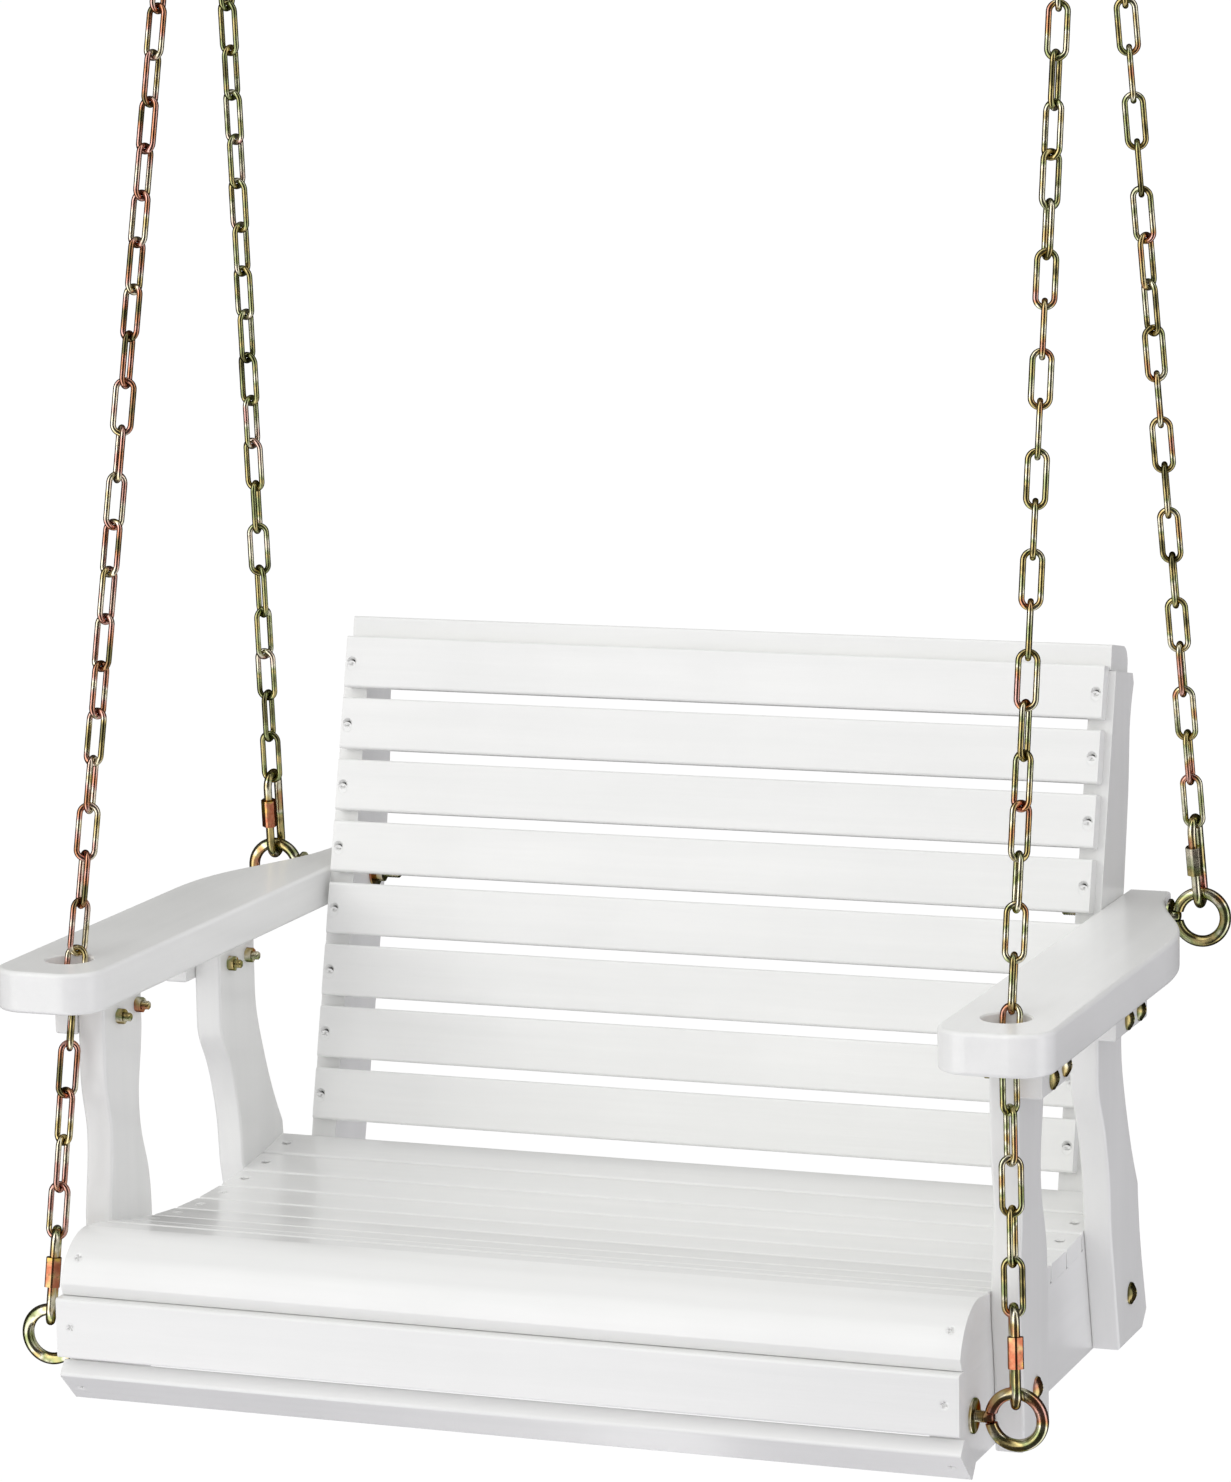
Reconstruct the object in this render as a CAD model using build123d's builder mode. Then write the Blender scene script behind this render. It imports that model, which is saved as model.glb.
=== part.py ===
"""A single porch swing seat: a painted slatted bench on four chains, with the two ceiling hooks that carry it.

Frame: millimetres, +Z up, +Y to the back of the bench, +X to the sitter's left (the viewer's right).
The origin lies on the ceiling, midway between the shanks of the two hooks.
"""

import os
from math import atan2, cos, degrees, pi, radians, sin, sqrt

from build123d import *

# ---- driving dimensions ----
BOARD = 18.0  # thickness of the back stiles
POST_T, CLEAT_T = 19.5, 16.0  # thickness of the posts and of the cleats outside them
SLAT = 13.0  # thickness of the slats
EASE = 2.0  # rounding of the boards' long edges

HANG_X = 310.0  # each ceiling hook stands this far from the middle
SEAT_Y = -234.0  # chain holes of the arms, measured from the hooks
SEAT_Z = -1046.0  # rear eye bolts, measured from the ceiling

ARM_T = 28.0  # arm board
ARM_UNDER = -17.8  # its underside
ARM_IN = 288.0  # inner edge of the arm, against the back stile
ARM_OUT = 364.0
ARM_FRONT, ARM_REAR = -50.0, 426.0
ARM_HOLE = (325.0, -2.0, 16.0)  # x, y and radius of the chain hole

RAIL_OUT = 308.5  # outer face of the seat rail, against the posts
RAIL_T = 20.0
RAIL_BOTTOM = -275.0
SEAT_R = 674.0  # the hollow of the seat is an arc seen from the side
SEAT_LOW = (170.0, -190.0)  # its lowest point, y and z
SEAT_SLATS, SEAT_PITCH, SEAT_WIDTH = 8, 37.1, 35.5
SEAT_HALF = 308.5
NOSE_HALF = 311.0
FRONT_HALF = 312.0

BACK_SLATS, BACK_PITCH, BACK_WIDTH = 8, 44.6, 37.0
BACK_HALF = 283.0
BACK_FOOT = (296.0, -164.0)  # front lower edge of the lowest back slat, y and z
RECLINE = 14.0  # of the back, in degrees

WIRE, LINK_IN, LINK_OUT = 4.0, 32.0, 16.0  # chain link: wire, inner length and outer width
QL_WIRE, QL_LONG, QL_WIDE = 6.0, 62.0, 18.5  # quick link: wire and the spans between wire centres
SLEEVE_AF, SLEEVE_LEN = 10.0, 20.0
SLEEVE_TRAVEL = 13.5
FRONT_GATE = -159.5  # the front links' openings face forward, turned this far about the pull from the back
GAP = 0.3  # play between two touching loops of wire

EYE_WIRE, EYE_R = 8.0, 17.0  # eye bolt: wire and radius of the ring to the wire's centre
FRONT_EYE = (337.0, -24.0, -243.0)
REAR_EYE = (349.0, 391.0, 0.0)
FRONT_SHANK_END, REAR_SHANK_END = 270.0, 250.0

HOOK_WIRE, HOOK_R = 8.0, 16.0
HOOK_NECK = 36.0  # from the ceiling to the middle of the hook's bow
HOOK_SHANK = 45.0  # threaded length in the ceiling joist

FRONT_LINKS_BELOW, FRONT_LINKS_ABOVE, REAR_LINKS = 5, 31, 28
M6, M8 = 6.0, 8.0
SHANK_R = 3.9  # eye bolt shank

os.makedirs("parts", exist_ok=True)
SEAT = Vector(0, SEAT_Y, SEAT_Z)
MIRROR = Plane.YZ


def save(piece, name):
    piece.label = name
    export_step(piece, f"parts/{name}.step")


def save_pair(part, name):
    """The part is drawn for the +X side and mirrored for the other."""
    save(part, f"{name}_right")
    save(mirror(part, about=MIRROR), f"{name}_left")


def save_group(solids, name):
    save(Compound(children=list(solids)), name)


def both(solids):
    return [side for solid in solids for side in (solid, mirror(solid, about=MIRROR))]


def drilled(board, screws):
    """The board with a snug hole for each screw that reaches it."""
    box = board.bounding_box()
    near = [screw for screw in screws if screw.bounding_box().overlaps(box)]
    with BuildPart() as result:
        add(board)
        add(near, mode=Mode.SUBTRACT)
    return result.part


def side_plane(x):
    """A sketch plane facing +X, with the seat's own y and z as its axes."""
    return Plane(origin=SEAT + Vector(x, 0, 0), x_dir=(0, 1, 0), z_dir=(1, 0, 0))


def seat_point(x, y, z):
    return SEAT + Vector(x, y, z)


# ---- side frames ----
def build_arm():
    """Arm board, wide in front, with an ogee on its outer edge towards the back."""
    with BuildPart() as arm:
        with BuildSketch(Plane(origin=seat_point(0, 0, ARM_UNDER))):
            with BuildLine():
                Polyline((ARM_IN, ARM_REAR), (ARM_IN, ARM_FRONT), (ARM_OUT, ARM_FRONT), (ARM_OUT, 240))
                Spline((ARM_OUT, 240), (361, 283), (351, 320), (339, 348), (328, 376), (318, ARM_REAR),
                       tangents=((0, 1), (-0.1, 1)))
                Line((318, ARM_REAR), (ARM_IN, ARM_REAR))
            face = make_face()
            fillet(face.vertices().group_by(Axis.Y)[0], 24)
            with Locations((ARM_HOLE[0], ARM_HOLE[1])):
                Circle(ARM_HOLE[2], mode=Mode.SUBTRACT)
        extrude(amount=ARM_T)
        top = arm.faces().sort_by(Axis.Z)[-1]
        bottom = arm.faces().sort_by(Axis.Z)[0]
        fillet(top.outer_wire().edges() + bottom.outer_wire().edges(), 3)
        chamfer(top.inner_wires()[0].edges() + bottom.inner_wires()[0].edges(), 1)
        with Locations(Plane(origin=seat_point(ARM_IN, REAR_EYE[1], 0), z_dir=(-1, 0, 0))):
            Hole(M8 / 2 + 0.2, depth=ARM_OUT - ARM_IN)
        with BuildSketch(Plane(origin=seat_point(ARM_WASHER_X, REAR_EYE[1], REAR_EYE[2]), z_dir=(1, 0, 0))):
            Circle(12)
        extrude(amount=30, mode=Mode.SUBTRACT)
    return arm.part


def build_post(outline, bolt_places):
    with BuildPart() as post:
        with BuildSketch(side_plane(RAIL_OUT)):
            with BuildLine():
                outline()
            make_face()
        extrude(amount=POST_T)
        ease_edges(post, Axis.X, EASE)
        with Locations(*[Plane(origin=seat_point(RAIL_OUT + POST_T, y, z), z_dir=(1, 0, 0)) for y, z in bolt_places]):
            Hole(M6 / 2 + 0.2)
    return post.part


def ease_edges(builder, axis, radius):
    """Rounds the outlines of the two faces that look along the axis."""
    ends = builder.faces().filter_by(axis)
    ends = [ends.sort_by(axis)[0], ends.sort_by(axis)[-1]]
    fillet([edge for face in ends for edge in face.outer_wire().edges()], radius)


ARM_WASHER_X = 326.2  # the rear eye bolt's washer is let into the arm's outer edge this far out
FRONT_BOLTS = [(35.5, -35.5), (64.5, -33.5), (51.0, -244.0)]
REAR_BOLTS = [(216.5, -35.5), (246.5, -35.5), (281.0, -241.0)]


def front_post_outline():
    """A waisted leg: both edges draw in halfway up."""
    Polyline((72.5, -42), (72.5, ARM_UNDER), (13, ARM_UNDER), (13, -70))
    Spline((13, -70), (20, -110), (15, -165), (23, -279.5), tangents=((0, -1), (0, -1)))
    Line((23, -279.5), (82, -279.5))
    Spline((82, -279.5), (80, -190), (76, -147), (67.5, -122), (65.5, -90), (72.5, -42), tangents=((0, 1), (0, 1)))


def rear_post_outline():
    """Upright below the arm, then swept back to its foot."""
    Polyline((260, -60), (260, ARM_UNDER), (200, ARM_UNDER), (200, -74))
    Spline((200, -74), (212, -104), (222, -128), (229, -156), (232, -185), tangents=((0, -1), (0.15, -1)))
    Polyline((232, -185), (254, -274), (313, -274), (325, -263))
    Spline((325, -263), (309, -211), (302, -168), tangents=((-0.3, 1), (-0.1, 1)))
    Spline((302, -168), (290, -148), (273, -111), (265, -89), (260, -60), tangents=((-0.5, 0.8), (0, 1)))


CLEAT_OUT = RAIL_OUT + POST_T + CLEAT_T


def build_cleat(y_start, y_end, bolts):
    """Block under the arm, outside the post, that ties the two together."""
    height = 27.0
    with BuildPart() as cleat:
        with BuildSketch(side_plane(RAIL_OUT + POST_T)):
            with Locations(((y_start + y_end) / 2, ARM_UNDER - height / 2)):
                Rectangle(y_end - y_start, height)
        extrude(amount=CLEAT_T)
        fillet(cleat.faces().sort_by(Axis.Z)[0].edges(), EASE)
        with Locations(*[Plane(origin=seat_point(CLEAT_OUT, y, z), z_dir=(1, 0, 0)) for y, z in bolts]):
            Hole(M6 / 2 + 0.2)
    return cleat.part


# The front of the seat, seen from the side: nosing, front slat and under slat.
NOSE_BACK = -53.0
NOSE_INNER = [(4.5, -183.5), (-16.0, -181.0), (-49.0, -206.0)]
UNDER_TOP, UNDER_FOOT = (-63.5, -258.5), (-39.0, -281.0)
UNDER_DIR = (Vector(*UNDER_FOOT) - Vector(*UNDER_TOP)).normalized()
UNDER_IN = Vector(-UNDER_DIR.Y, UNDER_DIR.X)  # from its outer face towards the rail
RAIL_TOP_R = sqrt((SEAT_R + SLAT) ** 2 + (SEAT_WIDTH / 2 - EASE) ** 2)  # the slats' edges rest on this arc
SEAT_CENTRE = (SEAT_LOW[0], SEAT_LOW[1] + SEAT_R)


def seat_arc(y, radius):
    """Height of the seat's arc of this radius at y."""
    return SEAT_CENTRE[1] - sqrt(radius**2 - (y - SEAT_CENTRE[0]) ** 2)


def build_rail():
    inner_top = Vector(*UNDER_TOP) + UNDER_IN * SLAT
    inner_foot = Vector(*UNDER_FOOT) + UNDER_IN * SLAT
    slope = (inner_foot.Y - inner_top.Y) / (inner_foot.X - inner_top.X)
    knee = (NOSE_BACK, inner_top.Y + (NOSE_BACK - inner_top.X) * slope)
    first, last = 5.5, 308.0
    middle = SEAT_LOW[0]
    with BuildPart() as rail:
        with BuildSketch(side_plane(RAIL_OUT - RAIL_T)):
            with BuildLine():
                ThreePointArc((first, seat_arc(first, RAIL_TOP_R)), (middle, seat_arc(middle, RAIL_TOP_R)),
                              (last, seat_arc(last, RAIL_TOP_R)))
                Polyline((last, seat_arc(last, RAIL_TOP_R)), (372, -222), (372, RAIL_BOTTOM), (-25, RAIL_BOTTOM),
                         (inner_foot.X, inner_foot.Y), knee, (NOSE_BACK, -209), NOSE_INNER[2], NOSE_INNER[1],
                         NOSE_INNER[0], (first, seat_arc(first, RAIL_TOP_R)))
            make_face()
        extrude(amount=RAIL_T)
        rear = rail.edges().filter_by(Axis.X).group_by(Axis.Y)[-1]
        fillet(rear, 12)
        holes = [(FRONT_EYE[1], FRONT_EYE[2], M8), (*FRONT_BOLTS[2], M6), (*REAR_BOLTS[2], M6)]
        for y, z, size in holes:
            with Locations(Plane(origin=seat_point(RAIL_OUT, y, z), z_dir=(1, 0, 0))):
                Hole(size / 2 + 0.2)
    return rail.part


# ---- the back ----
def back_point(along, out):
    """A point of the side view: this far up the back slats' front face, and this far behind it."""
    tilt = radians(RECLINE)
    y = BACK_FOOT[0] + along * sin(tilt) + out * cos(tilt)
    z = BACK_FOOT[1] + along * cos(tilt) - out * sin(tilt)
    return (y, z)


STILE_IN = ARM_IN - BOARD


def build_stile():
    """Upright of the back, narrowest near its top, with a rounded head that the cap slat rides on."""
    foot_front, foot_rear = back_point(-95, SLAT), back_point(-78, 70)
    head_front, head_top = back_point(346.6, SLAT), back_point(349.5, 57)
    with BuildPart() as stile:
        with BuildSketch(side_plane(STILE_IN)):
            with BuildLine():
                Polyline(back_point(165, 72), foot_rear, foot_front, head_front, head_top)
                Line(head_top, back_point(343, 61.5))
                Spline(back_point(343, 61.5), back_point(330, 59), back_point(316, 58), back_point(289, 62),
                       back_point(230, 68), back_point(165, 72))
            make_face()
        extrude(amount=BOARD)
        with Locations(Plane(origin=seat_point(ARM_IN, REAR_EYE[1], REAR_EYE[2]), z_dir=(1, 0, 0))):
            Hole(M8 / 2 + 0.2)
    return stile.part


def build_slat(half_length, corner, along, width, inward):
    """A slat across the bench: from a corner of its end, along its face and into the frame."""
    start, step, depth = Vector(*corner), Vector(*along) * width, Vector(*inward) * SLAT
    ring = [start, start + step, start + step + depth, start + depth, start]
    with BuildPart() as slat:
        with BuildSketch(side_plane(-half_length)):
            with BuildLine():
                Polyline(*[(point.X, point.Y) for point in ring])
            make_face()
        extrude(amount=2 * half_length)
        fillet(slat.edges().filter_by(Axis.X), EASE)
    return slat.part


def build_back_slat(index):
    """Index 1 is the highest of the eight."""
    tilt = radians(RECLINE)
    along = (BACK_SLATS - index) * BACK_PITCH
    return build_slat(BACK_HALF, back_point(along, 0), (sin(tilt), cos(tilt)), BACK_WIDTH, (cos(tilt), -sin(tilt)))


CAP_TILT = 10.0  # the cap slat falls this many degrees to the back
CAP_FRONT, CAP_TOP, CAP_WIDTH, CAP_T, CAP_HALF = 396.0, 187.0, 44.0, 18.0, 284.0


def cap_point(back, down):
    fall = radians(CAP_TILT)
    return (CAP_FRONT + back * cos(fall) - down * sin(fall), CAP_TOP - back * sin(fall) - down * cos(fall))


def build_cap_slat():
    """Thicker than the other slats and well rounded at the back."""
    corners = [cap_point(0, 0), cap_point(0, CAP_T), cap_point(CAP_WIDTH, CAP_T), cap_point(CAP_WIDTH, 0)]
    with BuildPart() as cap:
        with BuildSketch(side_plane(-CAP_HALF)) as section:
            with BuildLine():
                Polyline(*corners, close=True)
            make_face()
            rear = section.vertices().sort_by(Axis.X)[-1]
            fillet(rear, 13)
            front = section.vertices().sort_by(Axis.X)[:2]
            fillet(front, EASE)
        extrude(amount=2 * CAP_HALF)
    return cap.part


# ---- the seat ----
def seat_slat_angle(index):
    """Index 1 is the slat next to the nosing."""
    start = (6.75 + SEAT_WIDTH / 2 - SEAT_CENTRE[0]) / SEAT_R
    return start + (index - 1) * SEAT_PITCH / SEAT_R


def build_seat_slat(index):
    angle = seat_slat_angle(index)
    along, inward = Vector(cos(angle), sin(angle)), Vector(sin(angle), -cos(angle))
    middle = Vector(*SEAT_CENTRE) + inward * SEAT_R
    corner = middle - along * (SEAT_WIDTH / 2)
    return build_slat(SEAT_HALF, (corner.X, corner.Y), (along.X, along.Y), SEAT_WIDTH, (inward.X, inward.Y))


NOSE_SCREW = Vector(-50.6, -180.7)
NOSE_CENTRE = Vector(-20.3, -208.9)  # of the rounded front


def build_nosing():
    """The rolled front edge: a flat land on top and a rounded front."""
    with BuildPart() as nosing:
        with BuildSketch(side_plane(-NOSE_HALF)):
            with BuildLine():
                Line((4.5, -170.5), (-18, -167.5))
                ThreePointArc((-18, -167.5), (-45.5, -176), (-60, -197))
                Polyline((-60, -197), (-57, -205), (-53, -205.3), *reversed(NOSE_INNER), (4.5, -170.5))
            make_face()
        extrude(amount=2 * NOSE_HALF)
        fillet(nosing.edges().filter_by(Axis.X).group_by(Axis.Y)[0], 1.5)
    return nosing.part


def build_front_slat():
    return build_slat(FRONT_HALF, (NOSE_BACK - SLAT, -205.5), (0, -1), 40.5, (1, 0))


def build_under_slat():
    width = (Vector(*UNDER_FOOT) - Vector(*UNDER_TOP)).length
    return build_slat(FRONT_HALF, UNDER_TOP, (UNDER_DIR.X, UNDER_DIR.Y), width, (UNDER_IN.X, UNDER_IN.Y))


# ---- fasteners ----
def build_washer(x, y, z, outer, bore, thickness):
    """A flat washer whose outer face looks along +X, lying on the face at x."""
    plane = Plane(origin=seat_point(x, y, z), z_dir=(1, 0, 0))
    with BuildPart() as washer:
        with BuildSketch(plane):
            Circle(outer)
            Circle(bore, mode=Mode.SUBTRACT)
        extrude(amount=thickness)
        chamfer(washer.faces().sort_by(Axis.X)[-1].outer_wire().edges(), 0.3)
    return washer.part


def build_nut(x, y, z, size, bore):
    """A hexagon nut on the -X side of the face at x."""
    across, height = size * 1.625, size * 0.8
    plane = Plane(origin=seat_point(x, y, z), z_dir=(-1, 0, 0))
    with BuildPart() as nut:
        with BuildSketch(plane):
            RegularPolygon(across / 2, 6, major_radius=False)
        extrude(amount=height)
        with BuildSketch(plane):
            Circle(across / 2 * 1.06)
        extrude(amount=height, mode=Mode.INTERSECT)
        with Locations(plane):
            Hole(bore / 2)
    return nut.part


WASHER_T = 1.6
THREAD_PLAY = 0.05
HEAD_R, HEAD_H = 6.6, 2.8  # domed bolt head


def build_bolt(head_face, y, z, shank_end):
    """M6 dome-headed bolt: its head rests on a washer at head_face, its shank ends at shank_end."""
    head = head_face + WASHER_T
    plane = Plane(origin=seat_point(head, y, z), x_dir=(0, 1, 0), z_dir=(1, 0, 0))
    with BuildPart() as bolt:
        with BuildSketch(Plane(origin=seat_point(head, y, z), x_dir=(1, 0, 0), z_dir=(0, -1, 0))):
            with BuildLine():
                RadiusArc((0, HEAD_R), (HEAD_H, 0), (HEAD_R**2 + HEAD_H**2) / (2 * HEAD_H))
                Polyline((HEAD_H, 0), (0, 0), (0, HEAD_R))
            make_face()
        revolve(axis=Axis(plane.origin, (1, 0, 0)))
        with BuildSketch(plane):
            Circle(M6 / 2)
        extrude(amount=-(head - shank_end))
        chamfer(bolt.edges().filter_by(GeomType.CIRCLE).sort_by(Axis.X)[0], 0.6)
    return bolt.part


def build_wood_screw(head_point, inward, length):
    """Countersunk screw: its flat head lies in the surface, its shank runs inward."""
    plane = Plane(origin=head_point, z_dir=inward)
    with BuildPart() as screw:
        with BuildSketch(plane):
            Circle(3.6)
        with BuildSketch(plane.offset(2.4)):
            Circle(1.7)
        loft()
        with BuildSketch(plane.offset(2.4)):
            Circle(1.7)
        extrude(amount=length - 6.4)
        with BuildSketch(plane.offset(length - 4)):
            Circle(1.7)
        with BuildSketch(plane.offset(length)):
            Circle(0.4)
        loft()
    return screw.part


def side_direction(y, z):
    return Vector(0, y, z)


def back_screws():
    tilt = radians(RECLINE)
    inward = side_direction(cos(tilt), -sin(tilt))
    screws = []
    for row in range(BACK_SLATS):
        y, z = back_point(row * BACK_PITCH + BACK_WIDTH / 2, -0.05)
        screws.append(build_wood_screw(seat_point(STILE_IN + 8, y, z), inward, 32))
    fall = radians(CAP_TILT)
    y, z = cap_point(CAP_WIDTH / 2 - 2, -0.05)
    screws.append(build_wood_screw(seat_point(STILE_IN + 8, y, z), side_direction(-sin(fall), -cos(fall)), 36))
    return both(screws)


def seat_screws():
    x = RAIL_OUT - RAIL_T / 2
    screws = []
    for index in range(1, SEAT_SLATS + 1):
        angle = seat_slat_angle(index)
        y = SEAT_CENTRE[0] + sin(angle) * (SEAT_R - 0.05)
        z = SEAT_CENTRE[1] - cos(angle) * (SEAT_R - 0.05)
        screws.append(build_wood_screw(seat_point(x, y, z), side_direction(sin(angle), -cos(angle)), 32))
    x = RAIL_OUT - 6.5
    inward = (NOSE_CENTRE - NOSE_SCREW).normalized()
    head = NOSE_SCREW - inward * 0.05
    screws.append(build_wood_screw(seat_point(x, head.X, head.Y), side_direction(inward.X, inward.Y), 36))
    screws.append(build_wood_screw(seat_point(x, NOSE_BACK - SLAT - 0.05, -225), side_direction(1, 0), 30))
    under = (Vector(*UNDER_TOP) + Vector(*UNDER_FOOT)) / 2 - UNDER_IN * 0.05
    screws.append(build_wood_screw(seat_point(x, under.X, under.Y), side_direction(UNDER_IN.X, UNDER_IN.Y), 28))
    return both(screws)


def hidden_screws():
    """Two screws up through each cleat into the arm, and two through each stile into its rail."""
    cleat_x, cleat_z = RAIL_OUT + POST_T + CLEAT_T / 2, ARM_UNDER - 27.05
    screws = [build_wood_screw(seat_point(cleat_x, y, cleat_z), Vector(0, 0, 1), 46) for y in (22, 50, 200, 231.5)]
    for along in (-38, -68):
        y, z = back_point(along, 42)
        screws.append(build_wood_screw(seat_point(STILE_IN - 0.05, y, z), Vector(1, 0, 0), 32))
    return both(screws)


# ---- wire loops: eye bolts, quick links, chains and hooks ----
def build_eye_bolt(ring, shank_end):
    """A ring of wire in the X-Z plane with a threaded shank towards the middle of the bench."""
    centre = seat_point(*ring)
    x, y, z = ring
    with BuildPart() as bolt:
        with Locations(Plane(origin=centre, x_dir=(1, 0, 0), z_dir=(0, 1, 0))):
            Torus(EYE_R, EYE_WIRE / 2)
        with BuildSketch(Plane(origin=seat_point(shank_end, y, z), z_dir=(1, 0, 0))):
            Circle(SHANK_R)
        extrude(amount=x - EYE_R - shank_end)
        chamfer(bolt.faces().sort_by(Axis.X)[0].edges(), 0.8)
    return bolt.part


def arc_frame(origin, along, across):
    """A plane whose X is across and whose Y is along the loop."""
    normal = across.cross(along)
    return Plane(origin=origin, x_dir=across, z_dir=normal)


def stadium_wire(half_straight, radius):
    """Closed centre line of an oblong loop of wire, long in Y."""
    Line((radius, -half_straight), (radius, half_straight))
    ThreePointArc((radius, half_straight), (0, half_straight + radius), (-radius, half_straight))
    Line((-radius, half_straight), (-radius, -half_straight))
    ThreePointArc((-radius, -half_straight), (0, -half_straight - radius), (radius, -half_straight))


def build_link(centre, along, across):
    """One oblong chain link. Along points up the chain, across lies in the link's plane."""
    radius = (LINK_OUT - WIRE) / 2
    half_straight = (LINK_IN + WIRE) / 2 - radius
    with BuildPart() as link:
        with BuildLine(arc_frame(centre, along, across)) as path:
            stadium_wire(half_straight, radius)
        with BuildSketch(Plane(origin=path.line @ 0, z_dir=path.line % 0)):
            Circle(WIRE / 2)
        sweep()
    return link.part


def perpendicular(along, hint):
    return (hint - along * hint.dot(along)).normalized()


def link_turn(index, count, quarter_turns):
    """Angle of a link about the chain, 0 where it faces forward: every second link is at right
    angles, the chain drifts a little towards its middle, and makes a few slow quarter turns."""
    turn = 90.0 * index + 16.0 * sin(pi * index / (count - 1))
    for start in quarter_turns:
        turn += 90.0 * min(max((index - start) / 5, 0), 1)
    return turn


def chain_run(start, end, first, links, count, quarter_turns):
    """Links from start, the centre of the lowest wire, to end, the centre of the highest wire."""
    along = (end - start).normalized()
    step = ((end - start).length - LINK_IN - WIRE) / (links - 1)
    forward = perpendicular(along, Vector(1, 0, 0))
    run = []
    for number in range(links):
        centre = start + along * (number * step + (LINK_IN + WIRE) / 2)
        turn = link_turn(first + number, count, quarter_turns)
        across = forward.rotate(Axis((0, 0, 0), along), turn)
        run.append(build_link(centre, along, across))
    return run, step


HOOK_SEAT = Vector(HANG_X, 0, -HOOK_NECK - HOOK_R)  # centre of the hook's wire where the link hangs
PIVOT_Z = HOOK_SEAT.Z
TOP_LINK_TOP = HOOK_SEAT + Vector(0, 0, (HOOK_WIRE + QL_WIRE) / 2 + GAP)
TOP_LINK_BOTTOM = TOP_LINK_TOP - Vector(0, 0, QL_LONG)
HANG_SPLIT = 2.15  # the two end links lie side by side in the top link
HANG_RISE = QL_WIDE / 2 - sqrt((QL_WIDE / 2 - (QL_WIRE + WIRE) / 2 - GAP) ** 2 - HANG_SPLIT**2)
ARM_PASS = seat_point(325.5, 1.5, -19.2)  # where the front chain bends in the arm's hole


def quick_link_foot(eye, target):
    """Centre of the quick link's lower wire in the ring, and the direction of the pull."""
    rough = target - eye
    rim = eye + Vector(rough.X, 0, rough.Z).normalized() * EYE_R
    pull = (target - rim).normalized()
    return rim - pull * ((EYE_WIRE + QL_WIRE) / 2 + 2 * GAP), pull


def chain_start(foot, pull):
    return foot + pull * (QL_LONG - (QL_WIRE + WIRE) / 2 - GAP)


def hang_point(side):
    """Wire centre of the end link of the front (-1) or rear (1) chain in the top quick link."""
    return TOP_LINK_BOTTOM + Vector(0, side * HANG_SPLIT, HANG_RISE)


FRONT_FOOT, FRONT_PULL = quick_link_foot(seat_point(*FRONT_EYE), ARM_PASS)
REAR_FOOT, REAR_PULL = quick_link_foot(seat_point(*REAR_EYE), hang_point(1))


def build_chain(is_front, quarter_turns):
    """All links of one chain on the +X side, lowest first."""
    if not is_front:
        run, step = chain_run(chain_start(REAR_FOOT, REAR_PULL), hang_point(1), 0, REAR_LINKS, REAR_LINKS,
                              quarter_turns)
        print(f"rear chain: {REAR_LINKS} links, step {step:.2f}")
        return run
    count = FRONT_LINKS_BELOW + FRONT_LINKS_ABOVE
    start = chain_start(FRONT_FOOT, FRONT_PULL)
    lower_step = (ARM_PASS - start).length / FRONT_LINKS_BELOW
    lower_end = start + FRONT_PULL * (lower_step * (FRONT_LINKS_BELOW - 1) + LINK_IN + WIRE)
    lower, step_low = chain_run(start, lower_end, 0, FRONT_LINKS_BELOW, count, quarter_turns)
    upper, step_up = chain_run(ARM_PASS, hang_point(-1), FRONT_LINKS_BELOW, FRONT_LINKS_ABOVE, count,
                               quarter_turns)
    print(f"front chain: {count} links, steps {step_low:.2f} and {step_up:.2f}")
    return lower + upper


# heights on a quick link are measured from the centre of its lower wire
SLEEVE_START = 24.5  # lower end of the closed sleeve
QL_OPEN_START, QL_OPEN_END = SLEEVE_START + 7, SLEEVE_START + 15


def build_quick_link(foot, along, across):
    """Oblong loop of wire with an opening in one leg, on the side that across points to."""
    radius = QL_WIDE / 2
    half_straight = QL_LONG / 2 - radius
    centre = foot + along * (QL_LONG / 2)
    with BuildPart() as link:
        with BuildLine(arc_frame(centre, along, across)) as path:
            stadium_wire(half_straight, radius)
        with BuildSketch(Plane(origin=path.line @ 0, z_dir=path.line % 0)):
            Circle(QL_WIRE / 2)
        sweep()
        gate = foot + across * radius + along * QL_OPEN_START
        with BuildSketch(Plane(origin=gate, z_dir=along)):
            Circle(QL_WIRE)
        extrude(amount=QL_OPEN_END - QL_OPEN_START, mode=Mode.SUBTRACT)
    return link.part


def build_sleeve(foot, along, across):
    """Hexagonal screw sleeve, closed over the opening."""
    base = foot + across * (QL_WIDE / 2) + along * SLEEVE_START
    plane = Plane(origin=base, x_dir=across, z_dir=along)
    with BuildPart() as sleeve:
        with BuildSketch(plane):
            RegularPolygon(SLEEVE_AF / 2, 6, major_radius=False)
            Circle(QL_WIRE / 2 + THREAD_PLAY, mode=Mode.SUBTRACT)
        extrude(amount=SLEEVE_LEN)
        with BuildSketch(plane):
            Circle(SLEEVE_AF / 2 * 1.08)
        extrude(amount=SLEEVE_LEN, mode=Mode.INTERSECT)
    return sleeve.part


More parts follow.
